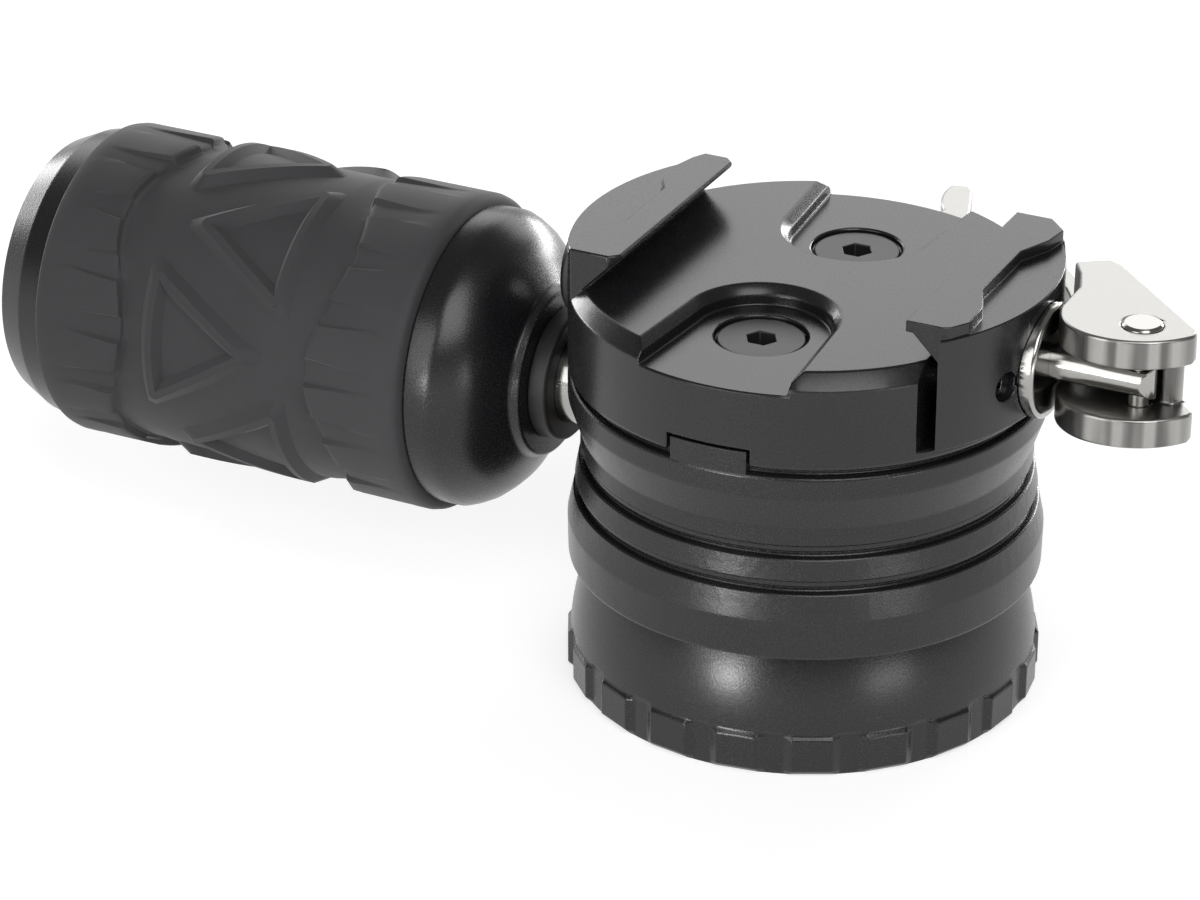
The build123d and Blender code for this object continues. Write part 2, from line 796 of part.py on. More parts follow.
with BuildPart() as clamp_body:
    with BuildSketch(Plane.XY.offset(seat_z)):
        Circle(clamp_r)
    extrude(amount=floor_z - seat_z)
    rims = clamp_body.edges().filter_by(GeomType.CIRCLE).sort_by(Axis.Z)
    chamfer(rims[-1], floor_chamfer)
    chamfer(clamp_body.edges().filter_by(GeomType.CIRCLE).sort_by(Axis.Z)[0], body_edge)
    # fixed jaw, up to its shelf
    with BuildSketch(Plane.XY.offset(floor_z - floor_chamfer)):
        Circle(clamp_r)
        with BuildLine():
            Polyline(
                (-clamp_r, -fixed_lip_half),
                (fixed_lip_x - lip_corner, -fixed_lip_half),
                (fixed_lip_x, -fixed_lip_half + lip_corner),
                (fixed_lip_x, fixed_lip_half - lip_corner),
                (fixed_lip_x - lip_corner, fixed_lip_half),
                (-clamp_r, fixed_lip_half),
                close=True,
            )
        make_face(mode=Mode.INTERSECT)
    extrude(amount=shelf_z - floor_z + floor_chamfer)
    # lip, wide at its ends
    with BuildSketch(Plane.XY.offset(shelf_z)):
        Circle(clamp_r)
        with BuildLine():
            Polyline(
                (fixed_lip_x - lip_corner, -fixed_lip_half),
                (fixed_lip_x, -fixed_lip_half + lip_corner),
                (fixed_lip_x, fixed_lip_half - lip_corner),
                (fixed_lip_x - lip_corner, fixed_lip_half),
                (fixed_lip_x - 3.8, fixed_lip_half),
                (fixed_lip_x - 4.6, fixed_lip_half - 1.6),
                (fixed_lip_x - 5.3, fixed_lip_half - 4.4),
                (fixed_lip_x - 5.0, fixed_lip_half - 8.6),
                (fixed_lip_x - 3.7, fixed_lip_half - 10.8),
                (fixed_lip_x - 3.7, -fixed_lip_half + 9.0),
                (fixed_lip_x - 6.0, -fixed_lip_half + 4.4),
                (fixed_lip_x - 6.3, -fixed_lip_half),
                close=True,
            )
        make_face(mode=Mode.INTERSECT)
    extrude(amount=lip_z - shelf_z)
    # 45 degree side under the lip
    with BuildSketch(Plane.XZ):
        with BuildLine():
            Polyline(
                (fixed_lip_x, lip_z - lip_land),
                (lip_root_x, floor_z),
                (fixed_lip_x + lip_corner, floor_z),
                (fixed_lip_x + lip_corner, lip_z - lip_land),
                close=True,
            )
        make_face()
    extrude(amount=clamp_r, both=True, mode=Mode.SUBTRACT)
    # room for the movable jaw
    with BuildSketch(Plane.XY.offset(seat_ledge_z)):
        with Locations((seat_wall_x, 0)):
            Rectangle(clamp_r, 2 * clamp_r, align=(Align.MIN, Align.CENTER))
    extrude(amount=floor_z - seat_ledge_z, mode=Mode.SUBTRACT)
    # pockets round the screws, open to the outside
    flare = (clamp_r - clamp_screw_y) * tan(radians(pocket_flare))
    for side in (1, -1):
        for depth_z, widening in ((pocket_z, 0), (floor_z - pocket_chamfer, pocket_chamfer)):
            with BuildSketch(Plane.XY.offset(depth_z)):
                with Locations((0, side * clamp_screw_y)):
                    Circle(pocket_r)
                with BuildLine():
                    Polyline(
                        (-pocket_r, side * clamp_screw_y),
                        (pocket_r, side * clamp_screw_y),
                        (pocket_r + flare, side * clamp_r),
                        (-pocket_r - flare, side * clamp_r),
                        close=True,
                    )
                make_face()
            if widening:
                extrude(amount=widening, taper=-45, mode=Mode.SUBTRACT)
            else:
                extrude(amount=floor_z - pocket_z, mode=Mode.SUBTRACT)
    # holes of the clamp's screws
    with BuildSketch(Plane.XY.offset(pocket_z)):
        with Locations(*clamp_screw_places):
            Circle(clamp_screw_seat_r)
    extrude(amount=-clamp_screw_sink - screw_head_edge, mode=Mode.SUBTRACT)
    with Locations(Plane.XY.offset(clamp_screw_top_z - screw_head_edge)):
        with Locations(*clamp_screw_places):
            Cone(
                clamp_screw_r,
                clamp_screw_head_r,
                clamp_screw_head_r - clamp_screw_r,
                align=(Align.CENTER, Align.CENTER, Align.MAX),
                mode=Mode.SUBTRACT,
            )
    with BuildSketch(Plane.XY.offset(seat_z)):
        with Locations(*clamp_screw_places):
            Circle(clamp_screw_r)
    extrude(amount=floor_z - seat_z, mode=Mode.SUBTRACT)
    # groove for the housing's key
    with BuildSketch(Plane.XY.offset(seat_z)):
        Rectangle(key_width + 2 * sliding_gap, 2 * clamp_r)
    extrude(amount=key_height + sliding_gap, mode=Mode.SUBTRACT)
    # cross rod and its nut
    with BuildSketch(Plane.YZ.offset(-clamp_r)):
        with Locations((0, rod_z)):
            Circle(rod_r)
    extrude(amount=2 * clamp_r, mode=Mode.SUBTRACT)
    with BuildSketch(Plane.YZ.offset(nut_seat_x)):
        with Locations((0, rod_z)):
            Circle(nut_r + sliding_gap)
    extrude(amount=-clamp_r, mode=Mode.SUBTRACT)
    # guide screws and jaw springs
    with BuildSketch(Plane.YZ.offset(guide_end_x - parting_gap)):
        with Locations((guide_y, rod_z), (-guide_y, rod_z)):
            Circle(guide_shank_r + running_gap)
    extrude(amount=clamp_r, mode=Mode.SUBTRACT)
    with BuildSketch(Plane.YZ.offset(spring_seat_x)):
        with Locations((guide_y, rod_z), (-guide_y, rod_z)):
            Circle(spring_coil_r + spring_wire_r + parting_gap)
    extrude(amount=clamp_r, mode=Mode.SUBTRACT)

clamp_screw = socket_screw(clamp_screw_r, clamp_screw_length, clamp_screw_head_r, clamp_screw_socket_width)

with BuildPart() as clamp_screws:
    with Locations(Plane.XY.offset(clamp_screw_top_z)):
        with Locations(*clamp_screw_places):
            add(clamp_screw)

# Movable jaw and its pieces

with BuildPart() as movable_jaw:
    with BuildSketch(Plane.XY.offset(jaw_bottom_z)):
        with Locations((jaw_shift, 0)):
            Circle(clamp_r)
        with Locations((jaw_x, 0)):
            Rectangle(clamp_r, 2 * clamp_r, align=(Align.MIN, Align.CENTER), mode=Mode.INTERSECT)
    extrude(amount=shelf_z - jaw_bottom_z)
    # overhang of the lip
    with BuildSketch(Plane.XZ):
        with BuildLine():
            Polyline(
                (jaw_x, jaw_undercut_z),
                (jaw_lip_x, lip_z - lip_land),
                (jaw_lip_x, lip_z),
                (jaw_x, lip_z),
                close=True,
            )
        make_face()
    extrude(amount=jaw_lip_half, both=True)
    # lip, wide at its ends
    with BuildSketch(Plane.XY.offset(shelf_z)):
        with Locations((jaw_shift, 0)):
            Circle(clamp_r)
        with BuildLine():
            Polyline(
                (jaw_lip_x, -jaw_lip_half),
                (jaw_x, -jaw_lip_half),
                (jaw_x + 0.8, -jaw_lip_half + 0.5),
                (jaw_x + 2.0, -jaw_lip_half + 2.4),
                (jaw_x + 1.8, -jaw_lip_half + 6.4),
                (jaw_x + 0.1, -jaw_lip_half + 10.7),
                (jaw_x + 0.1, jaw_lip_half - 9.4),
                (jaw_x + 1.8, jaw_lip_half - 5.5),
                (jaw_x + 2.2, jaw_lip_half - 2.3),
                (jaw_x, jaw_lip_half),
                (jaw_lip_x, jaw_lip_half),
                close=True,
            )
        make_face(mode=Mode.INTERSECT)
    extrude(amount=lip_z - shelf_z)
    # hole of the rod and flat for the washer
    with BuildSketch(Plane.YZ):
        with Locations((0, rod_z)):
            Circle(rod_r + running_gap)
    extrude(amount=2 * clamp_r, mode=Mode.SUBTRACT)
    with BuildSketch(Plane.YZ.offset(washer_x)):
        with Locations((0, rod_z)):
            Circle(washer_r + sliding_gap)
    extrude(amount=clamp_r, mode=Mode.SUBTRACT)
    # holes of the guide screws
    with BuildSketch(Plane.YZ.offset(jaw_x)):
        with Locations((guide_y, rod_z), (-guide_y, rod_z)):
            Circle(guide_head_r)
    extrude(amount=clamp_r, mode=Mode.SUBTRACT)

with BuildPart() as guide_screws:
    with BuildSketch(Plane.YZ.offset(guide_end_x)):
        with Locations((guide_y, rod_z), (-guide_y, rod_z)):
            Circle(guide_shank_r)
    extrude(amount=guide_head_x - guide_end_x)
    with BuildSketch(Plane.YZ.offset(guide_head_x)):
        with Locations((guide_y, rod_z), (-guide_y, rod_z)):
            Circle(guide_head_r)
    extrude(amount=-guide_head_length)
    with BuildSketch(Plane.YZ.offset(guide_head_x)):
        with Locations((guide_y, rod_z), (-guide_y, rod_z)):
            RegularPolygon(guide_socket_width / 2, 6, major_radius=False)
    extrude(amount=-guide_socket_width, mode=Mode.SUBTRACT)

spring_length = jaw_x - spring_seat_x - 2 * spring_wire_r
spring_pitch = spring_length / spring_turns

with BuildPart() as spring_coil:
    with BuildLine():
        coil = Helix(spring_pitch, spring_length, spring_coil_r)
    with BuildSketch(Plane(coil @ 0, z_dir=coil % 0)):
        Circle(spring_wire_r)
    sweep(path=coil, is_frenet=True)

with BuildPart() as jaw_springs:
    for side in (1, -1):
        with Locations(Location((spring_seat_x + spring_wire_r, side * guide_y, rod_z), (0, 90, 0))):
            add(spring_coil.part)

with BuildPart() as cam_washer:
    with BuildSketch(Plane.YZ.offset(washer_x)):
        with Locations((0, rod_z)):
            Circle(washer_r)
            Circle(rod_r + running_gap, mode=Mode.SUBTRACT)
    extrude(amount=washer_t)
    fillet(cam_washer.edges().filter_by(GeomType.CIRCLE).group_by(SortBy.RADIUS)[-1], washer_edge)

with BuildPart() as cross_rod:
    with BuildSketch(Plane.YZ.offset(rod_end_x)):
        with Locations((0, rod_z)):
            Circle(rod_r)
    extrude(amount=pin_x + rod_r - rod_end_x)
    # round end, and the pin's hole through it
    with BuildSketch(Plane.XY.offset(rod_z - rod_r)):
        with Locations((rod_end_x, 0)):
            Rectangle(pin_x - rod_end_x, 4 * rod_r, align=(Align.MIN, Align.CENTER))
        with Locations((pin_x, 0)):
            Circle(rod_r)
    extrude(amount=2 * rod_r, mode=Mode.INTERSECT)
    with BuildSketch(Plane.XY.offset(rod_z - rod_r)):
        with Locations((pin_x, 0)):
            Circle(pin_shank_r + running_gap)
    extrude(amount=2 * rod_r, mode=Mode.SUBTRACT)

with BuildPart() as rod_nut:
    with BuildSketch(Plane.YZ.offset(nut_x)):
        with Locations((0, rod_z)):
            Circle(nut_r)
            Circle(rod_r, mode=Mode.SUBTRACT)
    extrude(amount=nut_t)
    nut_face_edges = rod_nut.edges().filter_by(GeomType.CIRCLE).group_by(Axis.X)[0]
    chamfer(nut_face_edges.sort_by(SortBy.RADIUS)[-1], nut_edge)

# Lever

# Points of the cam plate, seen from above. The nose is round, so that the cam draws back
# from the washer faster than the jaw's springs push it out.
cam_flat_low_y = 0.5
cam_flat_high_y = 5.9
nose_middle = (cam_x + 1.9, -3.2)
nose_end = (cam_x + 5.7, -4.95)
beak_middle = (pin_x + 1.6, -4.1)
beak_low = (pin_x + 5.8, -0.4)
beak_high = (pin_x + 5.8, 0.8)
arm_start_angle = 24.2
arm_root = (arm_r * cos(radians(arm_start_angle)), arm_r * sin(radians(arm_start_angle)))
plate_waist = (arm_root[0] + 1.5, arm_root[1] - 2.4)
plate_tail = (arm_root[0] + 3.2, arm_root[1] + 2.2)
plate_heel = (plate_tail[0] + 1.2, plate_tail[1] - 0.4)


def cam_plate_outline():
    """Outline of a cam plate, in a BuildLine."""
    Line((cam_x, cam_flat_high_y), (cam_x, cam_flat_low_y))
    ThreePointArc((cam_x, cam_flat_low_y), nose_middle, nose_end)
    ThreePointArc(nose_end, beak_middle, beak_low)
    Polyline(beak_low, beak_high, plate_heel, plate_tail, arm_root, plate_waist)
    Line(plate_waist, (cam_x, cam_flat_high_y))


# wall between the two plates, along their long edge and behind the rod's end
web_outline = [
    plate_waist,
    arm_root,
    plate_tail,
    plate_heel,
    (pin_x + 4.2, 2.3),
    (pin_x + 3.4, 1.0),
    (pin_x + 2.1, 1.0),
    (pin_x + 1.2, 2.3),
    (plate_heel[0] + 3.0, plate_heel[1] - 5.6),
    (plate_heel[0] + 1.0, plate_heel[1] - 5.4),
]


def ring_sector(inner_r, outer_r, start_angle, end_angle):
    """Outline of a sector of a flat ring round the head's axis, in a BuildLine."""
    inner = CenterArc((0, 0), inner_r, start_angle, end_angle - start_angle)
    outer = CenterArc((0, 0), outer_r, start_angle, end_angle - start_angle)
    Line(inner @ 0, outer @ 0)
    Line(inner @ 1, outer @ 1)


with BuildPart() as clamp_lever:
    for plate_z in (lever_low_z, upper_plate_z):
        with BuildSketch(Plane.XY.offset(plate_z)):
            with BuildLine():
                cam_plate_outline()
            make_face()
        extrude(amount=lever_plate_t)
    with BuildSketch(Plane.XY.offset(lever_low_z)):
        with BuildLine():
            Polyline(*web_outline, close=True)
        make_face()
    extrude(amount=lever_top_z - lever_low_z)
    # arm round the clamp, and the thumb tab at its end
    with BuildSketch(Plane.XY.offset(arm_low_z)):
        with BuildLine():
            ring_sector(arm_r, arm_r + arm_t, arm_start_angle, arm_end_angle)
        make_face()
    extrude(amount=arm_top_z - arm_low_z)
    tab_root_r = arm_r + arm_t / 2
    tab_root_angle = radians(arm_end_angle) - (tab_width / 2 + 0.6) / tab_root_r
    tab_angle = tab_root_angle + radians(tab_lean)
    tab_root = (tab_root_r * cos(tab_root_angle), tab_root_r * sin(tab_root_angle), arm_top_z)
    with BuildSketch(Plane(tab_root, x_dir=(cos(tab_angle), sin(tab_angle), 0), z_dir=(0, 0, 1))):
        with BuildLine():
            Polyline(
                (1.0, tab_width / 2),
                (-0.6, -tab_width / 2),
                (tab_reach - 1.2, -tab_width / 2),
                (tab_reach - 0.3, 0.5 - tab_width / 2),
                (tab_reach, tab_width / 2 - 0.4),
                (tab_reach - 0.8, tab_width / 2),
            )
            ThreePointArc(
                (tab_reach - 0.8, tab_width / 2),
                (tab_reach / 2, tab_width / 2 + tab_bulge),
                (1.0, tab_width / 2),
            )
        make_face()
    extrude(amount=-tab_t)
    # holes of the pin's head and shank
    with BuildSketch(Plane.XY.offset(upper_plate_z)):
        with Locations((pin_x, 0)):
            Circle(pin_head_r)
    extrude(amount=lever_plate_t, mode=Mode.SUBTRACT)
    with BuildSketch(Plane.XY.offset(lever_low_z)):
        with Locations((pin_x, 0)):
            Circle(pin_shank_r)
    extrude(amount=lever_plate_t, mode=Mode.SUBTRACT)

with BuildPart() as lever_pin:
    with BuildSketch(Plane.XY.offset(pin_bottom_z)):
        with Locations((pin_x, 0)):
            Circle(pin_shank_r)
    extrude(amount=pin_top_z - pin_bottom_z)
    with BuildSketch(Plane.XY.offset(upper_plate_z)):
        with Locations((pin_x, 0)):
            Circle(pin_head_r)
    extrude(amount=pin_top_z - upper_plate_z)
    pin_ends = lever_pin.edges().filter_by(GeomType.CIRCLE).sort_by(Axis.Z)
    chamfer([pin_ends[0], pin_ends[-1]], pin_edge)

# Write the pieces

pieces = {
    "ball_base": ball_base,
    "base_plate": base_plate,
    "tripod_bushing": tripod_bushing,
    "base_plate_screws": base_plate_screws,
    "opening_ring": opening_ring,
    "draw_stud": draw_stud,
    "inner_cup": inner_cup,
    "cup_spring_washers": cup_spring_washers,
    "cup_nut": cup_nut,
    "press_ring": press_ring,
    "housing": housing,
    "rim_liner": rim_liner,
    "shaft_bush": shaft_bush,
    "lock_plunger": lock_plunger,
    "handle_shaft": handle_shaft,
    "handle_collar": handle_collar,
    "handle_cone": handle_cone,
    "handle_core": handle_core,
    "rubber_grip": rubber_grip,
    "end_cap": end_cap,
    "cap_screw": cap_screw,
    "clamp_body": clamp_body,
    "clamp_screws": clamp_screws,
    "cross_rod": cross_rod,
    "rod_nut": rod_nut,
    "movable_jaw": movable_jaw,
    "guide_screws": guide_screws,
    "jaw_springs": jaw_springs,
    "cam_washer": cam_washer,
    "clamp_lever": clamp_lever,
    "lever_pin": lever_pin,
}

os.makedirs("parts", exist_ok=True)
for name, piece in pieces.items():
    piece.part.label = name
    export_step(piece.part, f"parts/{name}.step")
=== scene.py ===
import math

import bmesh
import bpy
from bpy.props import FloatProperty, IntProperty, PointerProperty, StringProperty
from bpy.types import Operator, Panel, PropertyGroup
from mathutils import Matrix, Vector


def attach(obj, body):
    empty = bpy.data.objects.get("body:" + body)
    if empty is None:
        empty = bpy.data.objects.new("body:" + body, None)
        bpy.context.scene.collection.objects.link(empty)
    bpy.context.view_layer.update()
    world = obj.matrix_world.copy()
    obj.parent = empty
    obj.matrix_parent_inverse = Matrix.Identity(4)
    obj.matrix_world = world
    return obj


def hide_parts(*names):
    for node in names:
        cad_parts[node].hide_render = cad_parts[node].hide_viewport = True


bl_info = {
    "name": "Levelling tripod head",
    "version": (1, 0, 0),
    "blender": (4, 5, 0),
    "location": "3D View > Sidebar > Tripod head",
    "description": "Dresses the levelling tripod head with its visible pieces and finishes",
    "category": "Object",
}

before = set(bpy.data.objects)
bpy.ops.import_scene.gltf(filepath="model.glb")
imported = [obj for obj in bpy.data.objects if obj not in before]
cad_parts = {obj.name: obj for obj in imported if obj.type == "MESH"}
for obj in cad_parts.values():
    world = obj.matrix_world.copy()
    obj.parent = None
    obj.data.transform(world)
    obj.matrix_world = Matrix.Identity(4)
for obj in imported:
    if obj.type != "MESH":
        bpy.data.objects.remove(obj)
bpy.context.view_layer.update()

MM = 0.001
# vertices nearer than this are one
WELD = 0.0005 * MM
X_AXIS = Vector((1, 0, 0))
Z_AXIS = Vector((0, 0, 1))
HANDLE_CENTRE = Vector((0, 0, 29.0 * MM))


# Colours and nodes


def linear(hex_colour):
    """Linear colour of an sRGB hex value such as #1c1c1e."""
    channels = []
    for start in (1, 3, 5):
        value = int(hex_colour[start : start + 2], 16) / 255
        channels.append(value / 12.92 if value <= 0.04045 else ((value + 0.055) / 1.055) ** 2.4)
    return (*channels, 1.0)


def set_inputs(tree, node, values):
    """Fill or link a node's sockets by name or number."""
    for name, value in values.items():
        if isinstance(value, bpy.types.NodeSocket):
            tree.links.new(value, node.inputs[name])
        else:
            node.inputs[name].default_value = value


def add_node(tree, kind, settings=None, inputs=None):
    """Add a node with its settings, and fill or link its inputs."""
    added = tree.nodes.new(kind)
    for name, value in (settings or {}).items():
        setattr(added, name, value)
    set_inputs(tree, added, inputs or {})
    return added


def new_finish(name):
    """Empty material, its node tree, its shader and its object coordinates."""
    finish = bpy.data.materials.new(name)
    finish.use_nodes = True
    tree = finish.node_tree
    tree.nodes.clear()
    shader = add_node(tree, "ShaderNodeBsdfPrincipled")
    output = add_node(tree, "ShaderNodeOutputMaterial", inputs={"Surface": shader.outputs["BSDF"]})
    output.is_active_output = True
    place = add_node(tree, "ShaderNodeTexCoord").outputs["Object"]
    return finish, tree, shader, place


def noise(tree, place, size, detail):
    """Noise with marks of the given size."""
    inputs = {"Vector": place, "Scale": 1 / size, "Detail": detail}
    return add_node(tree, "ShaderNodeTexNoise", inputs=inputs).outputs["Fac"]


def mixed(tree, share, colour, other_colour):
    """Blend of two sRGB colours by the other's share."""
    inputs = {"Factor": share, "A": linear(colour), "B": linear(other_colour)}
    return add_node(tree, "ShaderNodeMix", {"data_type": "RGBA"}, inputs).outputs["Result"]


def ranged(tree, value, low, high):
    """Value of 0 to 1 spread from low to high."""
    inputs = {"Value": value, "To Min": low, "To Max": high}
    return add_node(tree, "ShaderNodeMapRange", inputs=inputs).outputs["Result"]


def bumped(tree, height, depth, strength):
    """Normals of a surface that has the height's relief."""
    inputs = {"Height": height, "Distance": depth, "Strength": strength}
    return add_node(tree, "ShaderNodeBump", inputs=inputs).outputs["Normal"]


def computed(tree, operation, first, second):
    """Result of one math operation on two values."""
    return add_node(tree, "ShaderNodeMath", {"operation": operation}, {0: first, 1: second}).outputs[0]


# Finishes

finishes = {}


def blasted_anodised_aluminium(name, colour, pale_colour, roughness, grain):
    """Bead-blasted aluminium, dyed black: an even satin with a fine sparkle of grain."""
    finish, tree, shader, place = new_finish(name)
    # bead marks of 0.1 to 0.2 mm, drawn at 0.2 mm
    beads = noise(tree, place, 0.2 * MM, 1.0)
    # slight unevenness of the dye over a few millimetres
    dye = noise(tree, place, 7 * MM, 2.0)
    values = {
        "Base Color": mixed(tree, dye, colour, pale_colour),
        "Roughness": ranged(tree, beads, roughness - 0.05, roughness + 0.05),
        "Normal": bumped(tree, beads, 0.02 * MM, grain),
        "Metallic": 0.0,
        "IOR": 1.5,
    }
    set_inputs(tree, shader, values)
    return finish


def moulded_rubber(name, colour, pale_colour):
    """Moulded silicone rubber: dull dark grey with the fine tooth of an etched mould."""
    finish, tree, shader, place = new_finish(name)
    # tooth of the etched mould, about 0.25 mm
    tooth = noise(tree, place, 0.25 * MM, 3.0)
    # handling bloom over a few millimetres
    bloom = noise(tree, place, 5 * MM, 3.0)
    values = {
        "Base Color": mixed(tree, bloom, colour, pale_colour),
        "Roughness": 0.7,
        "Normal": bumped(tree, tooth, 0.03 * MM, 0.5),
        "IOR": 1.42,
        "Sheen Weight": 0.15,
        "Sheen Roughness": 0.5,
    }
    set_inputs(tree, shader, values)
    return finish


def painted_reflection_bars(tree, place, colour, dark_reflection_colour):
    """Colour with broad painted reflection bars: darker streaks mixed in on upright faces only."""
    stretched = add_node(tree, "ShaderNodeMapping", inputs={"Vector": place, "Scale": (1.0, 1.0, 0.04)})
    # painted reflection bars of 1 to 3 mm
    bars = noise(tree, stretched.outputs["Vector"], 2.2 * MM, 1.0)
    inputs = {"Value": bars, "From Min": 0.42, "From Max": 0.6}
    bars = add_node(tree, "ShaderNodeMapRange", inputs=inputs).outputs["Result"]
    facing = add_node(tree, "ShaderNodeTexCoord").outputs["Normal"]
    facing = add_node(tree, "ShaderNodeSeparateXYZ", inputs={"Vector": facing}).outputs["Z"]
    # upright faces, whose normals rise or fall by less than 0.6, take the painted reflection
    inputs = {0: facing, 1: 0.0, 2: 0.6}
    upright = add_node(tree, "ShaderNodeMath", {"operation": "COMPARE"}, inputs).outputs[0]
    return mixed(tree, computed(tree, "MULTIPLY", upright, bars), colour, dark_reflection_colour)


def brushed_steel(name, colour, roughness, stretch, depth, reflection_streak_colour=None):
    """Stainless steel whose bright face is blurred by fine marks along one direction."""
    finish, tree, shader, place = new_finish(name)
    # with a streak colour given, upright faces get painted dark reflection bars
    tone = painted_reflection_bars(tree, place, colour, reflection_streak_colour) if reflection_streak_colour else linear(colour)
    lines = add_node(tree, "ShaderNodeMapping", inputs={"Vector": place, "Scale": stretch})
    # marks 0.12 mm long and a twelfth of that apart, finer than the 0.08 mm of real brush lines
    brush = noise(tree, lines.outputs["Vector"], 0.12 * MM, 3.0)
    values = {
        "Base Color": tone,
        "Roughness": ranged(tree, brush, roughness - 0.08, roughness + 0.1),
        "Normal": bumped(tree, brush, 0.01 * MM, depth),
        "Metallic": 1.0,
    }
    set_inputs(tree, shader, values)
    return finish


def plain_finish(name, colour, roughness, metallic, grain_size, grain):
    """Evenly finished metal or plastic with a fine grain of the given size."""
    finish, tree, shader, place = new_finish(name)
    marks = noise(tree, place, grain_size, 2.0)
    values = {
        "Base Color": linear(colour),
        "Roughness": ranged(tree, marks, roughness - 0.06, roughness + 0.06),
        "Normal": bumped(tree, marks, 0.01 * MM, grain),
        "Metallic": metallic,
    }
    set_inputs(tree, shader, values)
    return finish


def make_finishes():
    """All finishes of the head, made once."""
    look = bpy.context.scene.tripod_head_look
    blacks = (look.black, look.black_pale)
    along_x = (1.0, 12.0, 12.0)
    round_x = (12.0, 1.0, 1.0)
    # satin with a sparkle: the ball, the housing and the handle's metal
    finishes["anodised"] = blasted_anodised_aluminium("black_anodised_aluminium_blasted", *blacks, 0.27, 0.6)
    # the same black with hardly any grain, as flat milled faces keep it
    finishes["anodised_milled"] = blasted_anodised_aluminium(
        "black_anodised_aluminium_milled", *blacks, 0.26, 0.15
    )
    finishes["rubber"] = moulded_rubber("silicone_rubber_moulded", look.rubber, look.rubber_pale)
    # soft glare on the lever's plates, with painted dark reflection bars on their upright edges
    finishes["stainless"] = brushed_steel(
        "stainless_steel_brushed", look.steel, 0.28, along_x, 0.3, "#6a6967"
    )
    # near mirror, slightly blurred round the axis it was turned on
    finishes["stainless_turned"] = brushed_steel("stainless_steel_turned", look.steel, 0.14, round_x, 0.15)
    # dull silver grey of small hardware
    finishes["zinc"] = plain_finish("zinc_plated_steel_turned", "#9d9d9a", 0.32, 1.0, 0.2 * MM, 0.2)
    # charcoal with a soft shine, a tone lighter than the aluminium beside it
    finishes["black_oxide"] = plain_finish("black_oxide_steel_forged", "#38383a", 0.34, 0.6, 0.15 * MM, 0.3)
    # wet dark grey glint of an oiled screw in its hole
    finishes["oiled_oxide"] = plain_finish("black_oxide_steel_oiled", "#6a6a6a", 0.22, 1.0, 0.15 * MM, 0.2)
    # warm brown metal with a soft shine
    finishes["bronze"] = plain_finish("bearing_bronze_turned", "#9a7440", 0.34, 1.0, 0.2 * MM, 0.2)
    # dull black plastic
    finishes["acetal"] = plain_finish("black_acetal_moulded", "#1b1b1c", 0.5, 0.0, 0.3 * MM, 0.2)


# Meshes


def new_piece(name, bm, finish, body, slot, replaced=(), smooth=35.0, edge=0.0, segments=2):
    """Make an object of a bmesh, with its finish, its body and the nodes it stands for. The slot is not
    used.

    Edges sharper than smooth, in degrees, stay sharp, or get a bevel as wide as edge.
    """
    bmesh.ops.remove_doubles(bm, verts=bm.verts, dist=WELD)
    bmesh.ops.recalc_face_normals(bm, faces=bm.faces)
    mesh = bpy.data.meshes.new(name)
    bm.to_mesh(mesh)
    bm.free()
    mesh.polygons.foreach_set("use_smooth", [True] * len(mesh.polygons))
    mesh.set_sharp_from_angle(angle=math.radians(smooth))
    piece = bpy.data.objects.new(name, mesh)
    bpy.context.scene.collection.objects.link(piece)
    mesh.materials.append(finishes[finish])
    if edge:
        bevel = piece.modifiers.new("edges", "BEVEL")
        bevel.width = edge
        bevel.segments = segments
        bevel.limit_method = "ANGLE"
        bevel.angle_limit = math.radians(smooth)
        bevel.use_clamp_overlap = False
        # large faces keep their own normals, so that only the bevels shade round
        piece.modifiers.new("face_normals", "WEIGHTED_NORMAL").keep_sharp = True
    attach(piece, body)
    if replaced:
        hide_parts(*replaced)


def node_copy(name):
    """Merged copy of a CAD node, its flat faces whole again."""
    bm = bmesh.new()
    bm.from_mesh(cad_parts[name].data)
    bmesh.ops.remove_doubles(bm, verts=bm.verts, dist=0.02 * MM)
    bmesh.ops.dissolve_limit(
        bm,
        angle_limit=math.radians(0.6),
        use_dissolve_boundaries=False,
        verts=bm.verts,
        edges=bm.edges,
    )
    return bm


def copied_piece(name, node, finish, body, slot, edge_mm, **options):
    """Piece with a CAD node's own shape and softened edges."""
    new_piece(name, node_copy(node), finish, body, slot, [node], edge=edge_mm * MM, **options)


def section_place(point, axis):
    """Place of a section's point: along X round the handle's axis, or along Z round the head's."""
    along, radius = point
    if axis == "X":
        return Vector((along, 0, radius)) * MM + HANDLE_CENTRE
    return Vector((radius, 0, along)) * MM


def section(points, axis):
    """Bmesh of a turned piece's section: pairs of place along the axis and radius, in millimetres.

    A triple holds the middle of an arc, its last point and its number of steps.
    """
    bm = bmesh.new()
    normal = Vector((0, -1, 0))
    last = None
    for point in points:
        if len(point) == 2:
            vert = bm.verts.new(section_place(point, axis))
            if last:
                bm.edges.new((last, vert))
            last = vert
            continue
        middle, end, steps = point
        centre = section_place(middle, axis)
        start = last.co - centre
        goal = section_place(end, axis) - centre
        angle = math.atan2(start.cross(goal).dot(normal), start.dot(goal))
        arc = bmesh.ops.spin(
            bm, geom=[last], cent=centre, axis=normal, angle=angle, steps=steps, use_duplicate=False
        )
        last = [part for part in arc["geom_last"] if isinstance(part, bmesh.types.BMVert)][0]
    return bm


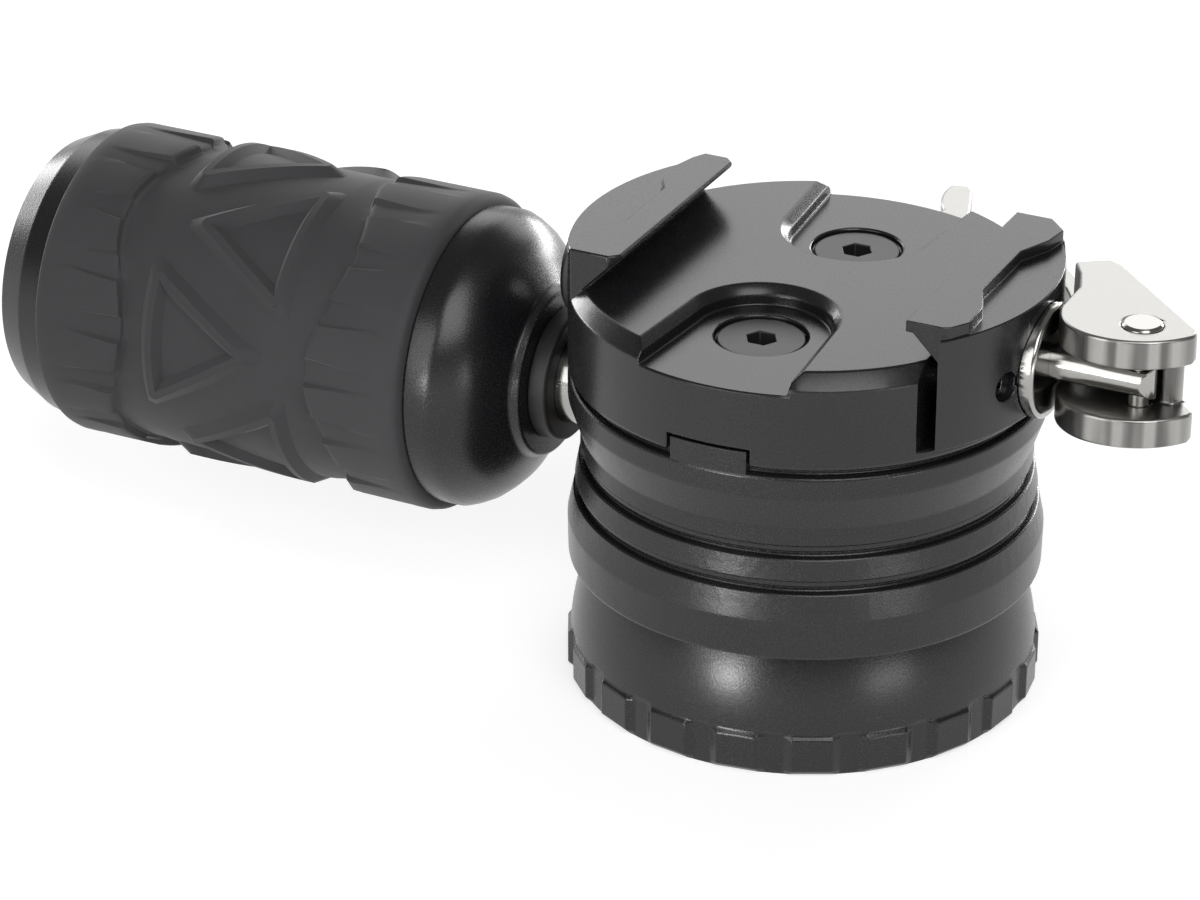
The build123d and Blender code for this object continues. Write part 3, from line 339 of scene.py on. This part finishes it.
def turned(points, axis, steps, closed=True):
    """Section spun once round the handle's axis or the head's."""
    bm = section([*points, points[0]] if closed else points, axis)
    bmesh.ops.remove_doubles(bm, verts=bm.verts, dist=WELD)
    bmesh.ops.spin(
        bm,
        geom=bm.verts[:] + bm.edges[:],
        cent=HANDLE_CENTRE if axis == "X" else (0, 0, 0),
        axis=X_AXIS if axis == "X" else Z_AXIS,
        angle=2 * math.pi,
        steps=steps,
        use_merge=True,
        use_duplicate=False,
    )
    bmesh.ops.remove_doubles(bm, verts=bm.verts, dist=WELD)
    return bm


# Settings


class TripodHeadLook(PropertyGroup):
    """Colours of the head's finishes."""

    black: StringProperty(
        name="Black", description="Deepest tone of the black anodised aluminium", default="#131315"
    )
    black_pale: StringProperty(name="Black, pale", description="Palest tone of the dye", default="#18181a")
    rubber: StringProperty(name="Rubber", description="Deepest tone of the rubber", default="#343436")
    rubber_pale: StringProperty(
        name="Rubber, pale", description="Palest tone of the rubber", default="#3a3a3c"
    )
    steel: StringProperty(name="Steel", description="Colour of the stainless steel", default="#a6a5a2")
    floor: StringProperty(name="Floor", description="Colour of the floor", default="#bcbcbc")


class TripodHeadGrip(PropertyGroup):
    """Sizes of the rubber grip's relief."""

    rib_height: FloatProperty(
        name="Rib height",
        description="Height of the triangles over the waist",
        default=1.05 * MM,
        unit="LENGTH",
    )
    rib_width: FloatProperty(
        name="Rib width", description="Width of the triangles' arms", default=2.8 * MM, unit="LENGTH"
    )
    band_wave: FloatProperty(
        name="Band wave",
        description="Half the wave of the bands' inner edges",
        default=1.4 * MM,
        unit="LENGTH",
    )
    notch_depth: FloatProperty(
        name="Notch depth",
        description="Depth of the wedges in the bands",
        default=0.6 * MM,
        unit="LENGTH",
    )
    triangles: IntProperty(
        name="Triangles", description="Number of raised triangles", default=8, min=2, max=16
    )


# Base

BALL_R = 26.0
BALL_Z = 3.0
INNER_R = 21.5
OPENING_R = 14.5
FOOT_R = 25.0
# the grip pads round the foot, and the flat floors of the gaps between them
PAD_R = 26.35
PAD_CHAMFER = 0.65
PAD_TOP_Z = 4.42
GAP_R = 25.75
# height of the pads' top edge over the ball's centre
LEDGE_RISE = 1.9
PAD_COUNT = 20
# direction of a pad's middle
PAD_PHASE = math.radians(-63.5)
# columns of vertices for each pad with its gap
PAD_COLUMNS = 20
# columns on the gap's floor each way from its middle, how far the floor reaches that way, and where
# the pad begins, the last two in the even columns of the spin
GAP_COLUMNS = 2
GAP_HALF = 2.35
PAD_EDGE = 4.6


class TRIPODHEAD_OT_base(Operator):
    """Half ball with its ring of grip pads, the base plate and the tripod bushing"""

    bl_idname = "tripodhead.base"
    bl_label = "Base"

    def execute(self, context):
        self.make_ball()
        copied_piece("base_disc", "base_plate", "anodised_milled", "base", "black_anodised", 0.15)
        copied_piece("base_disc_screws", "base_plate_screws", "black_oxide", "base", "steel", 0.06)
        copied_piece("threaded_bushing", "tripod_bushing", "stainless_turned", "base", "stainless", 0.15)
        return {"FINISHED"}

    def make_ball(self):
        ledge_r = math.sqrt(BALL_R**2 - LEDGE_RISE**2)
        opening_z = BALL_Z + math.sqrt(BALL_R**2 - OPENING_R**2)
        inner_z = BALL_Z + math.sqrt(INNER_R**2 - OPENING_R**2)
        plate_z = 2.0
        points = [
            (0.0, FOOT_R),
            (0.0, PAD_R - PAD_CHAMFER),
            (PAD_CHAMFER, PAD_R),
            (PAD_TOP_Z, PAD_R),
            (BALL_Z + LEDGE_RISE, ledge_r),
            ((BALL_Z, 0.0), (opening_z, OPENING_R), 64),
            (inner_z, OPENING_R),
            ((BALL_Z, 0.0), (BALL_Z, INNER_R), 32),
            (plate_z, INNER_R),
            (plate_z, FOOT_R),
        ]
        bm = turned(points, "Z", PAD_COUNT * PAD_COLUMNS)
        self.shape_pads(bm)
        new_piece(
            "ball_shell",
            bm,
            "anodised",
            "base",
            "black_anodised",
            ["ball_base"],
            smooth=14,
            edge=0.13 * MM,
        )

    def shape_pads(self, bm):
        """Move the foot's columns so that they make flat pads with sloped sides and gaps between."""
        step = 2 * math.pi / (PAD_COUNT * PAD_COLUMNS)
        # the spin starts on +X; half a step puts the gap's middle between two columns
        first_gap = PAD_PHASE + math.pi / PAD_COUNT + step / 2
        bmesh.ops.rotate(bm, verts=bm.verts, cent=(0, 0, 0), matrix=Matrix.Rotation(first_gap, 3, "Z"))
        pad_half = PAD_COLUMNS / 2 - PAD_EDGE
        for vert in bm.verts:
            reach = math.hypot(vert.co.x, vert.co.y)
            if vert.co.z > (BALL_Z + LEDGE_RISE + 0.05) * MM or reach < (FOOT_R + 0.2) * MM:
                continue
            place = (math.atan2(vert.co.y, vert.co.x) - first_gap) / step + 0.5
            offset = (place + PAD_COLUMNS / 2) % PAD_COLUMNS - PAD_COLUMNS / 2
            count = abs(round(offset))
            if count <= GAP_COLUMNS:
                new_count = count * GAP_HALF / GAP_COLUMNS
                reach = min(reach, GAP_R * MM)
            else:
                share = (count - GAP_COLUMNS - 1) / (PAD_COLUMNS / 2 - GAP_COLUMNS - 1)
                new_count = PAD_EDGE + share * pad_half
                # below the pads' top edge, their faces are flat
                if vert.co.z < (PAD_TOP_Z + 0.28) * MM:
                    from_middle = PAD_COLUMNS / 2 - new_count
                    reach *= math.cos(pad_half * step) / math.cos(from_middle * step)
            angle = first_gap + (place - 0.5 + math.copysign(new_count, offset) - offset) * step
            vert.co.x = reach * math.cos(angle)
            vert.co.y = reach * math.sin(angle)


# Housing

CROWN_TOP_Z = 35.6
KEY_WIDTH = 8.8
KEY_HEIGHT = 2.9
KEY_THICKNESS = 2.0
KEY_R = 26.1
KEY_Z = 37.0


class TRIPODHEAD_OT_housing(Operator):
    """Turned housing with its grooves, and the ends of the key across its top"""

    bl_idname = "tripodhead.housing"
    bl_label = "Housing"

    def execute(self, context):
        bm = node_copy("housing")
        # the crown's top edge, a little nearer to the clamp
        for vert in bm.verts:
            on_top = abs(vert.co.z - CROWN_TOP_Z * MM) < 0.2 * MM
            if on_top and math.hypot(vert.co.x, vert.co.y) > 25.1 * MM:
                vert.co.z += 0.2 * MM
        new_piece(
            "housing_shell",
            bm,
            "anodised",
            "housing",
            "black_anodised",
            ["housing"],
            smooth=11,
            edge=0.16 * MM,
        )
        self.make_key_ends()
        return {"FINISHED"}

    def make_key_ends(self):
        # the key's two ends stand flush with the crown and cross the shadow gap under the clamp
        bm = bmesh.new()
        middle_y = KEY_R - KEY_THICKNESS / 2
        for side in (-1, 1):
            made = bmesh.ops.create_cube(bm, size=1.0)["verts"]
            size = Vector((KEY_WIDTH, KEY_THICKNESS, KEY_HEIGHT)) * MM
            bmesh.ops.scale(bm, verts=made, vec=size)
            bmesh.ops.translate(bm, verts=made, vec=Vector((0, side * middle_y, KEY_Z)) * MM)
        along = [edge for edge in bm.edges if abs(edge.verts[0].co.x - edge.verts[1].co.x) > 1 * MM]
        bmesh.ops.subdivide_edges(bm, edges=along, cuts=11, use_grid_fill=True)
        for vert in bm.verts:
            if abs(vert.co.y) > middle_y * MM:
                vert.co.y = math.copysign(math.sqrt((KEY_R * MM) ** 2 - vert.co.x**2), vert.co.y)
        new_piece("housing_key", bm, "anodised", "housing", "black_anodised", smooth=30, edge=0.12 * MM)


# Handle

# places along the handle's axis and radii
SHAFT = [(-21.3, 0.0), (-21.3, 5.1), (-21.5, 5.3), (-47.0, 5.3), (-47.0, 0.0)]
COLLAR = [(-28.4, 5.3), (-28.4, 7.2), (-28.7, 7.5), (-30.6, 7.5), (-30.6, 5.3)]
FLARED_FRONT = [
    (-46.2, 13.1),
    (-46.2, 5.3),
    (-30.6, 5.3),
    (-30.6, 9.6),
    (-31.7, 9.9),
    (-33.2, 12.4),
    (-34.1, 13.85),
    (-35.2, 15.0),
    (-36.4, 16.0),
    (-37.7, 16.7),
    (-38.7, 17.1),
    (-41.2, 17.1),
    (-41.2, 13.1),
]
CAP = [
    (-85.5, 2.5),
    (-85.5, 13.1),
    (-88.5, 13.1),
    (-88.5, 17.4),
    (-91.3, 16.95),
    (-94.6, 15.4),
    (-94.6, 4.7),
    (-94.2, 4.7),
    (-92.0, 2.5),
]


class TRIPODHEAD_OT_handle_metal(Operator):
    """Shaft, collar, flared front, end cap and cap screw of the handle"""

    bl_idname = "tripodhead.handle_metal"
    bl_label = "Handle metal"

    def execute(self, context):
        bm = turned(SHAFT, "X", 128, closed=False)
        new_piece("shaft", bm, "stainless_turned", "handle", "stainless", ["handle_shaft"])
        bm = turned(COLLAR, "X", 128)
        new_piece("collar", bm, "acetal", "handle", "black_plastic", ["handle_collar"], edge=0.1 * MM)
        bm = turned(FLARED_FRONT, "X", 192)
        new_piece(
            "flared_front",
            bm,
            "anodised",
            "handle",
            "black_anodised",
            ["handle_cone"],
            edge=0.25 * MM,
            segments=3,
        )
        bm = turned(CAP, "X", 192)
        new_piece(
            "cap", bm, "anodised", "handle", "black_anodised", ["end_cap"], smooth=12, edge=0.12 * MM
        )
        copied_piece("cap_screw_head", "cap_screw", "black_oxide", "handle", "black_steel", 0.12)
        return {"FINISHED"}


BORE_R = 15.7
END_R = 17.2
ROUND_R = 17.8
SHOULDER_R = 18.15
BAND_R = 18.3
LIP_R = 18.25
LIP_EDGE_R = 18.1
LIP_FOOT_R = 17.4
GROOVE_R = 17.1
GROOVE_EDGE_R = 17.15
WAIST_R = 17.45
WAIST_EDGE_R = 17.35
# place along the axis, radius, share of the wave and share of the notch's depth
SLEEVE = [
    (-41.3, BORE_R, 0, 0),
    (-41.3, END_R, 0, 0),
    (-41.45, ROUND_R, 0, 0),
    (-41.8, SHOULDER_R, 0, 0),
    (-42.4, BAND_R, 0, 0),
    (-43.8, BAND_R, 0, 0),
    (-45.5, BAND_R, 0.1, 0.25),
    (-47.5, BAND_R, 0.4, 0.5),
    (-49.5, BAND_R, 0.75, 0.75),
    (-51.2, BAND_R, 1, 0.95),
    (-51.6, LIP_R, 1, 0.95),
    (-51.8, LIP_EDGE_R, 1, 0.9),
    (-51.95, LIP_FOOT_R, 1, 0.3),
    (-52.3, GROOVE_R, 0.95, 0),
    (-53.6, GROOVE_EDGE_R, 0.7, 0),
    (-54.8, WAIST_EDGE_R, 0.3, 0),
    *((-float(place), WAIST_R, 0, 0) for place in range(56, 75, 3)),
    (-75.4, WAIST_EDGE_R, -0.3, 0),
    (-76.8, GROOVE_EDGE_R, -0.7, 0),
    (-78.1, GROOVE_R, -0.95, 0),
    (-78.45, LIP_FOOT_R, -1, 0.3),
    (-78.6, LIP_EDGE_R, -1, 0.9),
    (-78.8, LIP_R, -1, 0.95),
    (-79.2, BAND_R, -1, 0.95),
    (-80.9, BAND_R, -0.75, 0.75),
    (-82.8, BAND_R, -0.4, 0.5),
    (-84.6, BAND_R, -0.1, 0.25),
    (-86.2, BAND_R, 0, 0),
    (-87.5, BAND_R, 0, 0),
    (-88.1, SHOULDER_R, 0, 0),
    (-88.4, ROUND_R, 0, 0),
    (-88.45, END_R, 0, 0),
    (-88.45, BORE_R, 0, 0),
]
# direction above the front where the bands are narrowest and a triangle points away from the housing
FIRST_TRIANGLE = math.radians(54)
NOTCHES = 16
# columns of vertices for each notch and the stretch to the next
NOTCH_COLUMNS = 20
TRIANGLE_R = 17.4
TRIANGLE_HALF = 9.9
# place along the axis and side of each corner, for triangles that point away from the housing or to it
AWAY_CORNERS = ((-56.0, -1), (-56.0, 1), (-72.6, 0))
TOWARDS_CORNERS = ((-74.6, -1), (-74.6, 1), (-58.0, 0))


class TRIPODHEAD_OT_rubber_grip(Operator):
    """Rubber sleeve with wavy bands, wedge notches and raised triangles"""

    bl_idname = "tripodhead.rubber_grip"
    bl_label = "Rubber grip"

    def execute(self, context):
        self.make_sleeve(context.scene.tripod_head_grip)
        self.make_triangles(context.scene.tripod_head_grip)
        return {"FINISHED"}

    def make_sleeve(self, grip):
        bm = turned([station[:2] for station in SLEEVE], "X", NOTCHES * NOTCH_COLUMNS)
        shares = {round(place, 3): (wave, depth) for place, radius, wave, depth in SLEEVE if radius > 17}
        step = 2 * math.pi / (NOTCHES * NOTCH_COLUMNS)
        for vert in bm.verts:
            local = vert.co - HANDLE_CENTRE
            radius = math.hypot(local.y, local.z)
            if radius < 17 * MM:
                continue
            wave, depth = shares[round(local.x / MM, 3)]
            angle = math.atan2(local.z, -local.y)
            # the bands are narrowest four times round
            swing = math.cos(4 * (angle - FIRST_TRIANGLE))
            local.x += swing * wave * grip.band_wave
            if depth:
                place = (angle - FIRST_TRIANGLE) / step
                offset = (place + NOTCH_COLUMNS / 2) % NOTCH_COLUMNS - NOTCH_COLUMNS / 2
                turned_by, sunk = self.notch_column(offset, 2.0 + 2.0 * depth)
                angle += turned_by * step
                if sunk:
                    radius -= grip.notch_depth * depth
            local.y = -radius * math.cos(angle)
            local.z = radius * math.sin(angle)
            vert.co = HANDLE_CENTRE + local
        new_piece("grip_sleeve", bm, "rubber", "handle", "rubber", ["rubber_grip"], smooth=32)

    def notch_column(self, offset, half):
        """Columns to turn a vertex by, and whether it lies on the notch's floor.

        Seven columns spread over the floor, which reaches half columns each way from its middle.
        After a steep side of 0.8 of a column, the others spread over the rest.
        """
        side = math.copysign(1, offset)
        count = abs(round(offset))
        if count <= 3:
            return side * count / 3 * half - offset, True
        if count <= 9:
            return side * (half + 0.8 + (count - 4) * (10 - half - 0.8) / 6) - offset, False
        return 0, False

    def make_triangles(self, grip):
        bm = bmesh.new()
        base_r = TRIANGLE_R * MM
        for count in range(grip.triangles):
            away = count % 2 == 0
            # pairs stand a quarter turn apart, and the second of each pair half of that back
            middle = FIRST_TRIANGLE - (0 if away else math.pi / 4) + (count // 2) * math.pi / 2
            verts = [
                bm.verts.new((place * MM, middle * base_r + side * TRIANGLE_HALF * MM, 0))
                for place, side in (AWAY_CORNERS if away else TOWARDS_CORNERS)
            ]
            self.raise_frame(bm, bm.faces.new(verts), grip)
        # wrap the flat frames round the grip
        for vert in bm.verts:
            angle = vert.co.y / base_r
            radius = base_r + vert.co.z
            way = Vector((vert.co.x, -radius * math.cos(angle), radius * math.sin(angle)))
            vert.co = HANDLE_CENTRE + way
        new_piece("grip_triangles", bm, "rubber", "handle", "rubber", smooth=40)

    def raise_frame(self, bm, face, grip):
        """Make a raised triangular frame with sloped sides of a flat triangle."""
        bmesh.ops.recalc_face_normals(bm, faces=[face])
        if face.normal.z < 0:
            face.normal_flip()
        finished = set(bm.verts) - set(face.verts)
        outer = face.verts[:]
        # sloped outer side, flat top and sloped inner side
        rings = []
        for share in (0.4, 0.3, 0.3):
            ring = bmesh.ops.inset_individual(
                bm, faces=[face], thickness=share * grip.rib_width, depth=0.0, use_even_offset=True
            )
            rings.append(ring["faces"])
        top = {vert for side in rings[1] for vert in side.verts}
        for vert in top:
            vert.co.z = grip.rib_height
        bmesh.ops.delete(bm, geom=[face], context="FACES_ONLY")
        # blunt corners
        hips = [
            edge for edge in bm.edges if len(top & set(edge.verts)) == 1 and set(edge.verts) & set(outer)
        ]
        bmesh.ops.bevel(
            bm, geom=hips, offset=0.6 * MM, affect="EDGES", segments=1, profile=0.5, material=-1
        )
        # long edges in short steps, so that the frame can bend round the grip
        edges = [
            edge
            for edge in bm.edges
            if all(vert not in finished for vert in edge.verts) and edge.calc_length() > 2.5 * MM
        ]
        bmesh.ops.subdivide_edges(bm, edges=edges, cuts=12, use_grid_fill=True)


# Clamp


class TRIPODHEAD_OT_clamp(Operator):
    """Clamp body with the fixed jaw, the movable jaw and their screws"""

    bl_idname = "tripodhead.clamp"
    bl_label = "Clamp"

    def execute(self, context):
        copied_piece("clamp_block", "clamp_body", "anodised_milled", "housing", "black_anodised", 0.22)
        copied_piece("sliding_jaw", "movable_jaw", "anodised_milled", "jaw", "black_anodised", 0.12)
        copied_piece("clamp_screw_heads", "clamp_screws", "black_oxide", "housing", "black_steel", 0.12)
        copied_piece("jaw_screws", "guide_screws", "oiled_oxide", "jaw", "black_steel", 0.06)
        copied_piece("round_nut", "rod_nut", "black_oxide", "housing", "black_steel", 0.1)
        copied_piece("pull_rod", "cross_rod", "stainless_turned", "housing", "stainless", 0.1)
        return {"FINISHED"}


class TRIPODHEAD_OT_lever(Operator):
    """Cam lever, its pin and the washer that its cam presses"""

    bl_idname = "tripodhead.lever"
    bl_label = "Lever"

    def execute(self, context):
        copied_piece("cam_lever", "clamp_lever", "stainless", "lever", "stainless", 0.3, segments=3)
        copied_piece("cam_pin", "lever_pin", "stainless_turned", "lever", "stainless", 0.06)
        copied_piece("thrust_washer", "cam_washer", "stainless_turned", "jaw", "stainless", 0.0, smooth=50)
        return {"FINISHED"}


class TRIPODHEAD_OT_inner_pieces(Operator):
    """Finishes of the CAD nodes that stay as they are"""

    bl_idname = "tripodhead.inner_pieces"
    bl_label = "Inner pieces"

    kept = {
        "opening_ring": "acetal",
        "draw_stud": "zinc",
        "inner_cup": "bronze",
        "cup_spring_washers": "zinc",
        "cup_nut": "zinc",
        "press_ring": "bronze",
        "rim_liner": "acetal",
        "shaft_bush": "bronze",
        "lock_plunger": "zinc",
        "handle_core": "anodised",
        "jaw_springs": "zinc",
    }

    def execute(self, context):
        for name, finish in self.kept.items():
            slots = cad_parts[name].data.materials
            slots.clear()
            slots.append(finishes[finish])
        return {"FINISHED"}


# Stage

STAGE_CENTRE = Vector((0, 0, 0.01))
# direction round the head and height, width and height as seen from it, strength, distance, and beam,
# with all angles in degrees
LAMPS = (
    ("key_lamp", -47.5, 47.0, 34.0, 38.0, 2.9, 1.2, 180.0),
    ("front_lamp", -106.0, 24.0, 30.0, 34.0, 2.0, 1.2, 180.0),
    ("back_lamp", 116.5, 29.0, 80.0, 26.0, 1.7, 1.2, 180.0),
    ("right_rear_lamp", 82.0, 6.0, 30.0, 8.0, 13.0, 1.2, 180.0),
    ("left_rear_lamp", 161.0, 10.0, 30.0, 13.0, 7.5, 1.2, 180.0),
    ("low_left_lamp", -100.5, 3.5, 13.0, 9.0, 32.0, 0.32, 24.0),
    ("low_right_lamp", -26.0, 3.0, 20.0, 9.0, 3.5, 0.32, 180.0),
)
CAMERA_PLACE = Vector((0.1763, -0.4043, 0.2497))
CAMERA_TARGET = Vector((-0.0203, -0.0101, 0.02605))
FLOOR_R = 6.0
# glow that makes the floor white to the camera and in reflections, and sheds no light on the head
FLOOR_GLOW = 0.66
# brightness of the world at the horizon and overhead
HORIZON = 0.9
CEILING = 0.18


class TRIPODHEAD_OT_stage(Operator):
    """Pale floor, soft lamps and the camera"""

    bl_idname = "tripodhead.stage"
    bl_label = "Stage"

    def execute(self, context):
        scene = context.scene
        scene.view_settings.view_transform = "Standard"
        self.make_floor(scene)
        self.make_world(scene)
        for lamp in LAMPS:
            self.add_lamp(scene, *lamp)
        self.add_camera(scene)
        return {"FINISHED"}

    def add_camera(self, scene):
        camera = bpy.data.objects.new("camera", bpy.data.cameras.new("camera"))
        scene.collection.objects.link(camera)
        camera.data.lens = 135.0
        camera.data.sensor_width = 36.0
        camera.data.clip_start = 0.01
        camera.location = CAMERA_PLACE
        camera.rotation_euler = (CAMERA_TARGET - CAMERA_PLACE).to_track_quat("-Z", "Y").to_euler()
        scene.camera = camera

    def make_floor(self, scene):
        bm = bmesh.new()
        bmesh.ops.create_circle(bm, cap_ends=True, radius=FLOOR_R, segments=64)
        mesh = bpy.data.meshes.new("floor")
        bm.to_mesh(mesh)
        bm.free()
        floor = bpy.data.objects.new("floor", mesh)
        scene.collection.objects.link(floor)
        finish, tree, shader, _ = new_finish("white_paper_floor")
        rays = add_node(tree, "ShaderNodeLightPath").outputs
        seen = computed(tree, "MAXIMUM", rays["Is Camera Ray"], rays["Is Glossy Ray"])
        seen = computed(tree, "MAXIMUM", seen, rays["Is Transmission Ray"])
        values = {
            "Base Color": linear(scene.tripod_head_look.floor),
            "Roughness": 0.9,
            "Specular IOR Level": 0.0,
            "Emission Color": (1, 1, 1, 1),
            "Emission Strength": computed(tree, "MULTIPLY", seen, FLOOR_GLOW),
        }
        set_inputs(tree, shader, values)
        mesh.materials.append(finish)

    def make_world(self, scene):
        # a pale horizon under a darker studio ceiling
        world = bpy.data.worlds.new("studio")
        world.use_nodes = True
        scene.world = world
        tree = world.node_tree
        tree.nodes.clear()
        way = add_node(tree, "ShaderNodeTexCoord").outputs["Generated"]
        height = add_node(tree, "ShaderNodeSeparateXYZ", inputs={"Vector": way}).outputs["Z"]
        level = add_node(
            tree,
            "ShaderNodeMapRange",
            {"interpolation_type": "SMOOTHSTEP"},
            {"Value": height, "From Min": 0.03, "From Max": 0.3, "To Min": HORIZON, "To Max": CEILING},
        )
        inputs = {"Color": (1, 1, 1, 1), "Strength": level.outputs["Result"]}
        back = add_node(tree, "ShaderNodeBackground", inputs=inputs)
        add_node(tree, "ShaderNodeOutputWorld", inputs={"Surface": back.outputs["Background"]})

    def add_lamp(self, scene, name, turn_deg, height_deg, width_deg, tall_deg, strength, distance, beam_deg):
        azimuth = math.radians(turn_deg)
        height = math.radians(height_deg)
        level_reach = math.cos(height)
        way = Vector((math.cos(azimuth) * level_reach, math.sin(azimuth) * level_reach, math.sin(height)))
        light = bpy.data.lights.new(name, "AREA")
        light.shape = "RECTANGLE"
        light.size = 2 * distance * math.tan(math.radians(width_deg) / 2)
        light.size_y = 2 * distance * math.tan(math.radians(tall_deg) / 2)
        # watts go with the lamp's face, so that the strength alone sets how bright that face is
        light.energy = 4 * light.size * light.size_y * strength
        if beam_deg < 180:
            # a narrow beam is brighter along its middle for the same watts
            half = math.radians(beam_deg) / 2
            light.spread = 2 * half
            light.energy *= (math.tan(half) - half) / math.tan(half)
        lamp = bpy.data.objects.new(name, light)
        scene.collection.objects.link(lamp)
        lamp.location = STAGE_CENTRE + distance * way
        lamp.rotation_euler = (-way).to_track_quat("-Z", "Y").to_euler()
        lamp.visible_camera = False


# Panel and registration


class TRIPODHEAD_PT_panel(Panel):
    """Pieces and finishes of the tripod head"""

    bl_idname = "TRIPODHEAD_PT_panel"
    bl_label = "Tripod head"
    bl_space_type = "VIEW_3D"
    bl_region_type = "UI"
    bl_category = "Tripod head"

    def draw(self, context):
        look = context.scene.tripod_head_look
        grip = context.scene.tripod_head_grip
        for name in ("black", "black_pale", "rubber", "rubber_pale", "steel", "floor"):
            self.layout.prop(look, name)
        for name in ("rib_height", "rib_width", "band_wave", "notch_depth", "triangles"):
            self.layout.prop(grip, name)
        for step in STEPS:
            self.layout.operator(step.bl_idname)


STEPS = (
    TRIPODHEAD_OT_base,
    TRIPODHEAD_OT_housing,
    TRIPODHEAD_OT_handle_metal,
    TRIPODHEAD_OT_rubber_grip,
    TRIPODHEAD_OT_clamp,
    TRIPODHEAD_OT_lever,
    TRIPODHEAD_OT_inner_pieces,
    TRIPODHEAD_OT_stage,
)
CLASSES = (TripodHeadLook, TripodHeadGrip, *STEPS, TRIPODHEAD_PT_panel)


def register():
    for cls in CLASSES:
        bpy.utils.register_class(cls)
    bpy.types.Scene.tripod_head_look = PointerProperty(type=TripodHeadLook)
    bpy.types.Scene.tripod_head_grip = PointerProperty(type=TripodHeadGrip)


def unregister():
    del bpy.types.Scene.tripod_head_grip
    del bpy.types.Scene.tripod_head_look
    for cls in reversed(CLASSES):
        bpy.utils.unregister_class(cls)


def main():
    register()
    make_finishes()
    bpy.ops.tripodhead.base()
    bpy.ops.tripodhead.housing()
    bpy.ops.tripodhead.handle_metal()
    bpy.ops.tripodhead.rubber_grip()
    bpy.ops.tripodhead.clamp()
    bpy.ops.tripodhead.lever()
    bpy.ops.tripodhead.inner_pieces()
    bpy.ops.tripodhead.stage()


if __name__ == "__main__":
    main()
